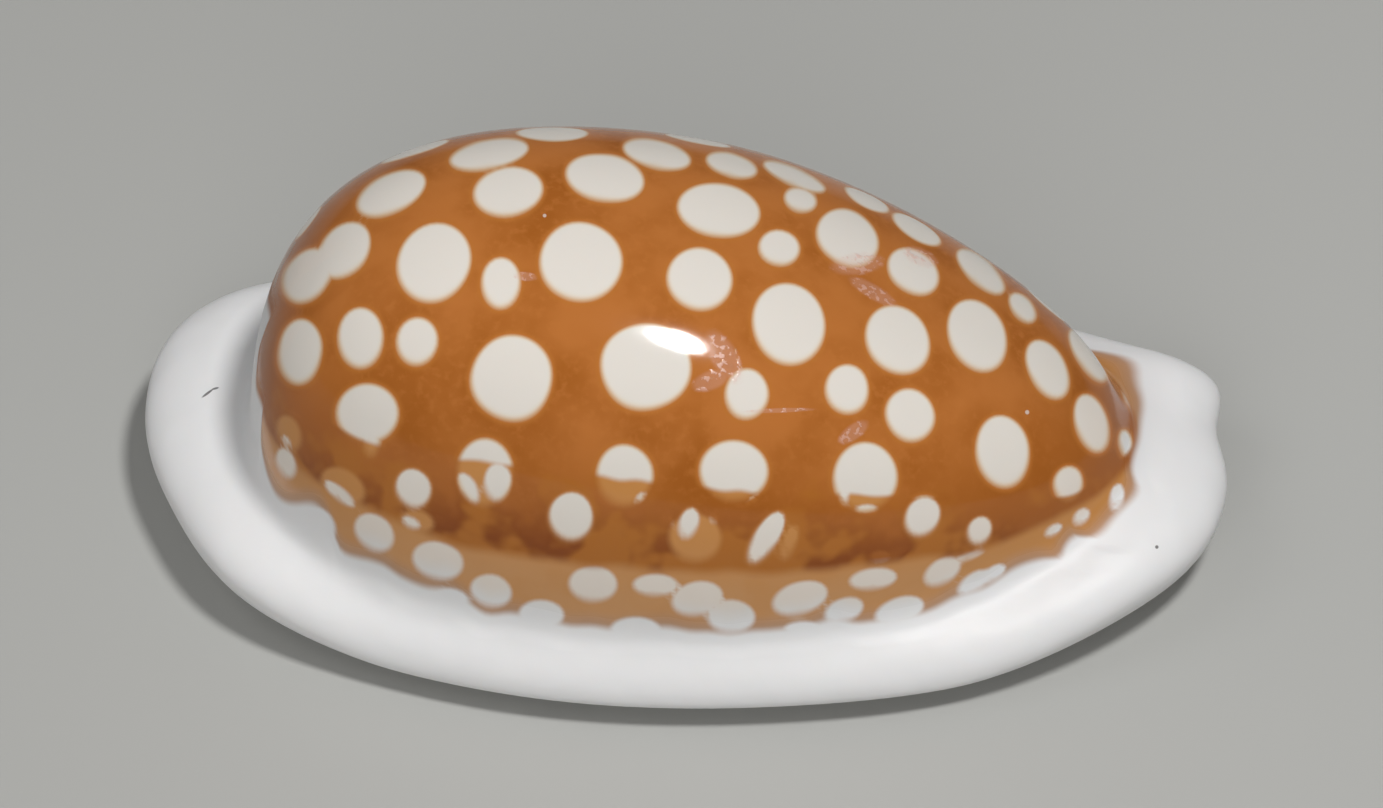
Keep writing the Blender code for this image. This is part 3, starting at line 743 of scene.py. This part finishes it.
# What the glaze is told at each corner; past the margin, no film is left
film_map = on_map(corners)
body_rows = shell_points.shape[1] - 2
row = np.append(np.tile(np.arange(1, body_rows + 1), len(shell_points)), (0, body_rows + 1))
film_edge = inside_film(film_map, FILM_SEEN, FILM_HIDDEN, FILM_WAVER, seed=3)
film_edge[row > DOME_ROWS] = -FAR
markings = {
    "back_rim": back_rim[0],
    "back_fringe": back_rim[1] / back_rim[2],
    "side_rim": side_rim[0],
    "side_fringe": side_rim[1] / side_rim[2],
    "back_film": inside_film(film_map, BACK_FILM_SEEN, BACK_FILM_HIDDEN, TOP_WAVER, seed=4),
    "side_top": inside_film(film_map, SIDE_FILM_TOP_SEEN, SIDE_FILM_TOP_HIDDEN, TOP_WAVER, seed=5),
    "film_edge": film_edge,
}
for name, values in markings.items():
    layer = skin.attributes.new(name, "FLOAT", "POINT")
    layer.data.foreach_set("value", values.astype(np.float32))


# Glaze: natural porcelain over the white shell, whose colour each film filters. First the
# colours of the shell in its spots and on the callus, then those that the films give it.
SPOT_CREAM = (0.78, 0.73, 0.665, 1.0)
# Low side spots are a little pinker and lighter: partly their own tone, partly painted light.
LOW_SPOT_PAINTED_LIGHT = (0.82, 0.74, 0.66, 1.0)
CALLUS_WHITE = (0.82, 0.815, 0.815, 1.0)
BACK_BROWN = (0.50, 0.17, 0.036, 1.0)
BACK_BROWN_DEEP = (0.37, 0.11, 0.014, 1.0)
SIDE_TAN = (0.58, 0.26, 0.075, 1.0)
# The lower tan is paler: partly its own colour, partly painted light.
SIDE_TAN_LOW_PAINTED_LIGHT = (0.61, 0.31, 0.125, 1.0)
RIM_COLOUR = (0.40, 0.29, 0.24, 1.0)  # at the side film's outermost edge
LIGHT_CLOUD = (0.44, 0.15, 0.02, 1.0)  # both films together, where thin and where thick
DARK_CLOUD = (0.25, 0.06, 0.005, 1.0)
# What the back film lets through across a spot's fringe, which is wider on a spot's lower
# side as painted shadow of the film's edge: (share from the rim out, colour)
FRINGE = [
    (0.0, (1.0, 1.0, 1.0, 1.0)), (0.3, (0.96, 0.87, 0.72, 1.0)), (0.65, (0.80, 0.47, 0.19, 1.0)),
    (1.0, (0.64, 0.24, 0.05, 1.0)),
]
RIM_PLACE = 0.7               # the place of the rims given above across that fringe
# Smooth steps from 0 at the first value to 1 at the second, in mm in from a film's edge
BACK_FILM_STARTS, SIDE_FILM_STARTS = (-0.1, 0.22), (0.06, -0.1)
CALLUS_ENDS = (-0.12, 0.16)
LOW_SPOTS_FROM, LOW_SPOTS_TO = (0.1, 0.9), (3.0, 1.0)
SPOTS_WHITEN = (0.9, 0.15)
BROWN_DEEPENS = (4.5, 1.0)
TAN_GREYS = (-0.9, -2.6)
RIM_BLUSHES = (0.55, 0.0)
SATIN_STARTS = (0.6, 0.0)
BUMPS_START = (-0.3, -0.8)
# The same in shares of a fringe
BACK_FILM_THICKENS, SIDE_FILM_THICKENS = (0.0, 1.1), (0.0, 0.9)
FRINGE_ENDS = (0.8, 1.6)
# The same in values of noise, and the noises: features a mm, and detail
BROWN_CLOUDS, BROWN_GRAIN = (0.35, 0.7), (0.45, 0.75)
TAN_PATCHES, DARK_PATCHES = (0.4, 0.65), (0.42, 0.6)
SCUFF_FLECKS = (0.52, 0.62)
CLOUDS, PATCHES, GRAIN = (0.45, 3.0), (0.9, 2.0), (5.0, 3.0)
FLECKS, PEEL, LOW_BUMPS = (7.0, 3.0), (6.0, 2.0), (0.9, 1.0)
OVERLAP_STARTS = (1.9, 0.7)   # mm below the side film's top, with the patches added
OVERLAP_STRAY = 4.0           # mm that they add for a unit of noise
GRAIN_SHARE, PATCH_SHARE, BLUSH_SHARE = 0.6, 0.35, 0.6
GLAZE_ROUGHNESS = 0.09
CALLUS_ROUGHNESS, SCUFF_ROUGHNESS = 0.36, 0.25  # more of it on the callus, and on scuffs
GLAZE_IOR = 1.42
PEEL_STRENGTH, PEEL_DEPTH = 0.04, 0.02
CALLUS_BUMP = 0.05            # depth of its low bumps
SCRATCH_STRENGTH, SCRATCH_DEPTH = 0.5, 0.01
GLOW, GLOW_RADIUS, GLOW_DEPTH = 0.10, (1.0, 0.7, 0.5), 0.4  # light spread in the shell
# Wear, dirt and one painted reflection on the view plane: (place, turn, half sizes along,
# across and into the shell)
SCUFFS_AND_REFLECTION = [
    ((0.75, 1.1), -60, (0.75, 0.35, 1.5)), ((0.45, 0.55), 20, (0.5, 0.25, 1.5)),
    ((3.85, 3.25), 10, (0.75, 0.3, 1.5)), ((4.2, 2.6), -30, (0.7, 0.2, 1.5)),
    ((5.3, 3.4), -20, (0.5, 0.25, 1.5)), ((2.0, -0.15), 2, (0.95, 0.06, 1.5)),
    # The last scuff here is no wear but a painted reflection, a faint warm streak beside a spot.
    ((3.75, -0.65), 35, (0.45, 0.2, 1.5)), ((-3.85, 2.95), -5, (0.3, 0.12, 1.5)),
]
PALE_DOTS = [((-3.4, 4.36), 0, (0.05, 0.05, 0.5)), ((7.77, -0.19), 0, (0.06, 0.06, 0.5))]
DIRT = [
    ((-11.2, 0.25), 38, (0.2, 0.035, 0.5)), ((-11.02, 0.36), 15, (0.1, 0.03, 0.5)),
    ((10.77, -3.31), 0, (0.05, 0.05, 0.5)),
]
MARK_FADES = (1.0, 0.6)       # shares of a mark's half sizes
SCUFF_AND_REFLECTION_COLOUR = (0.72, 0.44, 0.36, 1.0)
DIRT_COLOUR = (0.06, 0.05, 0.05, 1.0)
HAZE_SHARE, FLECK_SHARE, DOT_SHARE, DIRT_SHARE = 0.22, 0.5, 0.6, 0.8


def shell_material(shift):
    """Porcelain glaze over white shell, filtered by the two films' colours."""
    material = bpy.data.materials.new("cowrie_glaze")
    material.use_nodes = True
    tree = material.node_tree
    shader = tree.nodes["Principled BSDF"]

    def node(kind, values=(), **settings):
        """A node with its settings, its inputs set to values or linked to sockets."""
        made = tree.nodes.new(kind)
        for name, value in settings.items():
            setattr(made, name, value)
        for key, value in dict(values).items():
            if isinstance(value, bpy.types.NodeSocket):
                tree.links.new(value, made.inputs[key])
            else:
                made.inputs[key].default_value = value
        return made

    def told(name):
        """The value of an attribute of the mesh."""
        return node("ShaderNodeAttribute", attribute_name=name).outputs["Fac"]

    def step(value, low, high):
        """A smooth step from 0 at low to 1 at high, in either order."""
        to = (0.0, 1.0) if low < high else (1.0, 0.0)
        made = node("ShaderNodeMapRange", {
            "Value": value, "From Min": min(low, high), "From Max": max(low, high),
            "To Min": to[0], "To Max": to[1]}, interpolation_type="SMOOTHSTEP")
        return made.outputs["Result"]

    def blend(share, first, second, mode="MIX"):
        """Two colours mixed by a share."""
        made = node("ShaderNodeMix", {0: share, 6: first, 7: second}, data_type="RGBA",
                    blend_type=mode)
        return made.outputs[2]

    def ramp(value, stops):
        """A colour ramp through stops of (place, colour)."""
        made = node("ShaderNodeValToRGB", {"Fac": value})
        ends = made.color_ramp.elements
        while len(ends) < len(stops):
            ends.new(0.5)
        for element, (place, colour) in zip(ends, stops):
            element.position = place
            element.color = colour
        return made.outputs["Color"]

    def noise(scale, detail):
        """Noise of so many features a millimetre."""
        made = node("ShaderNodeTexNoise", {"Vector": place_mm, "Scale": scale, "Detail": detail})
        return made.outputs["Fac"]

    def number(operation, a, b):
        """A sum, product or the like of two values."""
        return node("ShaderNodeMath", {0: a, 1: b}, operation=operation).outputs[0]

    def times(a, b):
        """The product of two values."""
        return number("MULTIPLY", a, b)

    def out_of(name):
        """How far across the fringe about a film's rims: 0 inside a rim to 1 outside it."""
        share = number("DIVIDE", told(name + "_rim"), told(name + "_fringe"))
        return number("ADD", share, RIM_PLACE)

    def mark(place, turn, half_sizes):
        """1 within an ellipsoid mark at a place of the view plane, fading to 0 at its edge."""
        middle = (seen_at([place])[0] + shift) * MM
        across, up, back = view_axes()
        turn = math.radians(turn)
        axes = (across * math.cos(turn) + up * math.sin(turn),
                up * math.cos(turn) - across * math.sin(turn), back)
        local = node("ShaderNodeMapping", {
            "Vector": object_place, "Location": tuple(middle),
            "Rotation": Matrix(axes).transposed().to_euler(),
            "Scale": tuple(half * MM for half in half_sizes)}, vector_type="TEXTURE")
        away = node("ShaderNodeVectorMath", {0: local.outputs["Vector"]}, operation="LENGTH")
        return step(away.outputs["Value"], *MARK_FADES)

    object_place = node("ShaderNodeTexCoord").outputs["Object"]
    in_mm = node("ShaderNodeMapping", {"Vector": object_place, "Scale": (1.0 / MM,) * 3})
    place_mm = in_mm.outputs["Vector"]
    patches = noise(*PATCHES)

    # How much of each film there is: none at a spot's rim, whole past its fringe
    edge = told("film_edge")
    back_rim, side_rim = out_of("back"), out_of("side")
    past_side_rim = step(side_rim, *SIDE_FILM_THICKENS)
    back_share = times(step(told("back_film"), *BACK_FILM_STARTS),
                       step(back_rim, *BACK_FILM_THICKENS))
    side_share = times(step(told("side_top"), *SIDE_FILM_STARTS), past_side_rim)

    # The bare shell in the spots: cream; low on the sides a little pinker and lighter, partly its
    # own tone and partly painted light where the lamps reach less; whiter next to the callus
    low_down = times(step(edge, *LOW_SPOTS_FROM), step(edge, *LOW_SPOTS_TO))
    bare = blend(low_down, SPOT_CREAM, LOW_SPOT_PAINTED_LIGHT)
    bare = blend(step(edge, *SPOTS_WHITEN), bare, CALLUS_WHITE)

    # The back film alone: yellow where it thins out round a spot, and wider on a spot's lower
    # side as painted shadow, orange-brown where whole
    whole = blend(step(noise(*CLOUDS), *BROWN_CLOUDS), BACK_BROWN, BACK_BROWN_DEEP)
    whole = blend(times(step(noise(*GRAIN), *BROWN_GRAIN), GRAIN_SHARE), whole, BACK_BROWN)
    whole = blend(step(edge, *BROWN_DEEPENS), whole, BACK_BROWN_DEEP)
    fringed = blend(1.0, bare, ramp(back_rim, FRINGE), "MULTIPLY")
    back_only = blend(step(back_rim, *FRINGE_ENDS), fringed, whole)

    # The side film over white: an orange tan above, and towards the callus a paler, greyer tan,
    # partly its own colour and partly painted light where the lamps reach less
    tan = blend(step(told("side_top"), *TAN_GREYS), SIDE_TAN, SIDE_TAN_LOW_PAINTED_LIGHT)
    tan = blend(times(step(patches, *TAN_PATCHES), PATCH_SHARE), tan, SIDE_TAN)
    tan = blend(times(step(edge, *RIM_BLUSHES), BLUSH_SHARE), tan, RIM_COLOUR)
    side_only = blend(side_share, bare, tan)

    # Both films: the side film darkens the back film in clouds
    depth = blend(step(patches, *DARK_PATCHES), LIGHT_CLOUD, DARK_CLOUD)
    strayed = number("ADD", times(patches, OVERLAP_STRAY), told("side_top"))
    clouded = times(step(strayed, *OVERLAP_STARTS), past_side_rim)
    over_back = blend(clouded, blend(side_share, back_only, whole), depth)
    films = blend(back_share, side_only, over_back)

    # The callus creeps over the films' outermost edge
    colour = blend(step(edge, *CALLUS_ENDS), CALLUS_WHITE, films)

    # Wear and dirt: fine scuffs and pale dots on the back, a dark fibre and speck on the callus.
    # One of the scuffs is a painted reflection: a faint warm streak beside a spot.
    scuffs_and_reflection = 0.0
    for scuff in SCUFFS_AND_REFLECTION:
        scuffs_and_reflection = number("MAXIMUM", scuffs_and_reflection, mark(*scuff))
    colour = blend(times(scuffs_and_reflection, HAZE_SHARE), colour, SCUFF_AND_REFLECTION_COLOUR)
    scuffs_and_reflection = times(scuffs_and_reflection, step(noise(*FLECKS), *SCUFF_FLECKS))
    colour = blend(times(scuffs_and_reflection, FLECK_SHARE), colour, SCUFF_AND_REFLECTION_COLOUR)
    for dot in PALE_DOTS:
        colour = blend(times(mark(*dot), DOT_SHARE), colour, SPOT_CREAM)
    for speck in DIRT:
        colour = blend(times(mark(*speck), DIRT_SHARE), colour, DIRT_COLOUR)
    tree.links.new(colour, shader.inputs["Base Color"])

    # Glaze: nearly smooth with a faint orange-peel, and satin with low bumps on the callus
    satin = times(step(edge, *SATIN_STARTS), CALLUS_ROUGHNESS)
    dull = number("MAXIMUM", times(scuffs_and_reflection, SCUFF_ROUGHNESS), satin)
    tree.links.new(number("ADD", dull, GLAZE_ROUGHNESS), shader.inputs["Roughness"])
    peel = node("ShaderNodeBump", {"Height": noise(*PEEL), "Strength": PEEL_STRENGTH,
                                   "Distance": PEEL_DEPTH * MM})
    bumps = node("ShaderNodeBump", {
        "Height": times(noise(*LOW_BUMPS), step(edge, *BUMPS_START)), "Strength": 1.0,
        "Distance": CALLUS_BUMP * MM, "Normal": peel.outputs["Normal"]})
    scratch = node("ShaderNodeBump", {"Height": scuffs_and_reflection, "Strength": SCRATCH_STRENGTH,
                                      "Distance": SCRATCH_DEPTH * MM,
                                      "Normal": bumps.outputs["Normal"]})
    tree.links.new(scratch.outputs["Normal"], shader.inputs["Normal"])
    shader.inputs["IOR"].default_value = GLAZE_IOR
    shader.inputs["Subsurface Weight"].default_value = GLOW
    shader.inputs["Subsurface Radius"].default_value = GLOW_RADIUS
    shader.inputs["Subsurface Scale"].default_value = GLOW_DEPTH * MM
    return material


skin.materials.append(shell_material(shift))
shell = bpy.data.objects.new("cowrie_shell", skin)
bpy.context.scene.collection.objects.link(shell)
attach(shell, "root")
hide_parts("shell")


# Floor: a plain pale matt sheet for the shell to lie on, which isn't part of it. It takes the
# shell's shadow and throws soft light up at its sides.
FLOOR_HALF = 400.0            # half its length and width
FLOOR_CORNERS = ((-1, -1), (1, -1), (1, 1), (-1, 1))
FLOOR_COLOUR = (0.46, 0.46, 0.44, 1.0)
FLOOR_ROUGHNESS = 0.9

floor_mesh = bpy.data.meshes.new("floor")
floor_points = [(x * FLOOR_HALF * MM, y * FLOOR_HALF * MM, 0.0) for x, y in FLOOR_CORNERS]
floor_mesh.from_pydata(floor_points, [], [(0, 1, 2, 3)])
floor_material = bpy.data.materials.new("floor_matt")
floor_material.use_nodes = True
floor_shader = floor_material.node_tree.nodes["Principled BSDF"]
floor_shader.inputs["Base Color"].default_value = FLOOR_COLOUR
floor_shader.inputs["Roughness"].default_value = FLOOR_ROUGHNESS
floor_mesh.materials.append(floor_material)
floor = bpy.data.objects.new("floor", floor_mesh)
bpy.context.scene.collection.objects.link(floor)


# Light and camera: a round lamp above the front end, whose image shows in the glaze, two wide
# soft panels and a dim even room. The camera looks down on the shell from in front of its
# outer lip, at the photograph's angle.
CAMERA_TARGET = tuple(np.array(VIEW_TARGET) + shift)
CAMERA_LENS = 146.2
CAMERA_NEAREST = 1.0          # nothing closer than this is drawn
ROOM_COLOUR = (1.0, 1.0, 1.0, 1.0)
ROOM_STRENGTH = 0.1
# Azimuth, climb, distance, width, power in watts, and whether the glaze mirrors the light
LIGHTS = {
    "lamp": (59.8, 71.1, 150.0, 26.0, 0.137, True),
    "front_fill": (-8.0, 30.0, 200.0, 150.0, 0.112, False),
    "left_fill": (-85.0, 50.0, 200.0, 150.0, 0.055, False),
}


def looking(where, target):
    """The turn that points a light or camera at a target."""
    return (Vector(target) - Vector(where)).to_track_quat("-Z", "Y").to_euler()


def placed(azimuth, climb, distance, target):
    """A place so far from a target, at an azimuth from -Y and an angle of climb."""
    a, e = math.radians(azimuth), math.radians(climb)
    away = Vector((math.sin(a) * math.cos(e), -math.cos(a) * math.cos(e), math.sin(e)))
    return (Vector(target) + away * distance) * MM


def panel(name, azimuth, climb, distance, size, power, mirrored):
    """A round light that faces the shell, with or without its mirror image in the glaze."""
    light = bpy.data.lights.new(name, "AREA")
    light.shape = "DISK"
    light.size = size * MM
    light.energy = power
    lamp = bpy.data.objects.new(name, light)
    lamp.location = placed(azimuth, climb, distance, CAMERA_TARGET)
    lamp.rotation_euler = looking(lamp.location, Vector(CAMERA_TARGET) * MM)
    lamp.visible_glossy = mirrored
    bpy.context.scene.collection.objects.link(lamp)


for name, values in LIGHTS.items():
    panel(name, *values)
room = bpy.data.worlds.new("room")
room.use_nodes = True
room.node_tree.nodes["Background"].inputs["Color"].default_value = ROOM_COLOUR
room.node_tree.nodes["Background"].inputs["Strength"].default_value = ROOM_STRENGTH
bpy.context.scene.world = room
bpy.context.scene.view_settings.view_transform = "Standard"

camera_data = bpy.data.cameras.new("camera")
camera_data.lens = CAMERA_LENS
camera_data.clip_start = CAMERA_NEAREST * MM
camera = bpy.data.objects.new("camera", camera_data)
camera.location = placed(CAMERA_AZIMUTH, CAMERA_CLIMB, CAMERA_DISTANCE, CAMERA_TARGET)
camera.rotation_euler = looking(camera.location, Vector(CAMERA_TARGET) * MM)
bpy.context.scene.collection.objects.link(camera)
bpy.context.scene.camera = camera
